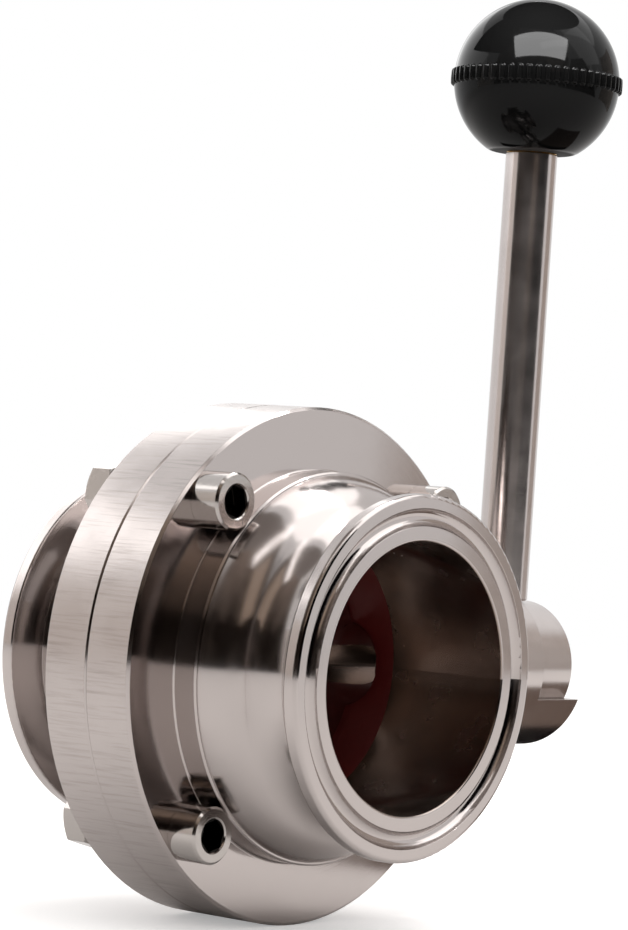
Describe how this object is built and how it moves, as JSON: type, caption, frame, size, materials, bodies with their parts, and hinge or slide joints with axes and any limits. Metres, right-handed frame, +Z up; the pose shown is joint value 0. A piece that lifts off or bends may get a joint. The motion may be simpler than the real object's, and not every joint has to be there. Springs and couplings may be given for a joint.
{
  "type": "sanitary butterfly valve",
  "caption": "Clamp-ended stainless butterfly valve with bolted round body, silicone seat, and a quarter-turn ball-knob rod handle.",
  "frame": {"origin": "centre of the near port, on the pipe axis in the plane of its ferrule face", "axes": "+X along the stem towards the handle, +Y along the pipe into the valve, +Z up along the handle rod when shut"},
  "size_m": [0.1301, 0.07, 0.1748],
  "materials": {
    "body_steel": "polished stainless steel",
    "disc_steel": "polished stainless steel",
    "handle_steel": "fine turned stainless steel",
    "screw_steel": "fine turned stainless steel",
    "hidden_steel": "fine turned stainless steel",
    "seat_rubber": "moulded silicone, satin",
    "ring_rubber": "black moulded rubber",
    "bush_plastic": "turned white fluoroplastic",
    "knob_plastic": "glossy moulded thermoset",
    "insert_brass": "turned"
  },
  "bodies": {
    "valve_body": {"body_half_front": "body_steel", "body_half_rear": "body_steel", "seat_ring": "seat_rubber", "upper_inner_bush": "bush_plastic", "upper_outer_bush": "bush_plastic", "lower_bush": "bush_plastic", "upper_stem_ring": "ring_rubber", "lower_stem_ring": "ring_rubber", "stop_sleeve": "handle_steel", "sleeve_grub_screws": "hidden_steel", "thrust_washer": "bush_plastic", "flange_cap_screws": "screw_steel", "flange_nuts": "screw_steel"},
    "handle_and_disc": {"valve_disc": "disc_steel", "handle_hub": "handle_steel", "hub_screw": "hidden_steel", "hub_lock_washer": "hidden_steel", "handle_rod": "handle_steel", "ball_knob": "knob_plastic", "knob_insert": "insert_brass"}
  },
  "joints": [
    {"name": "handle_turn", "type": "hinge", "parent": "valve_body", "child": "handle_and_disc", "pos_m": [0, 0.035, 0], "axis": [1, 0, 0], "range_deg": [0, 90]}
  ]
}
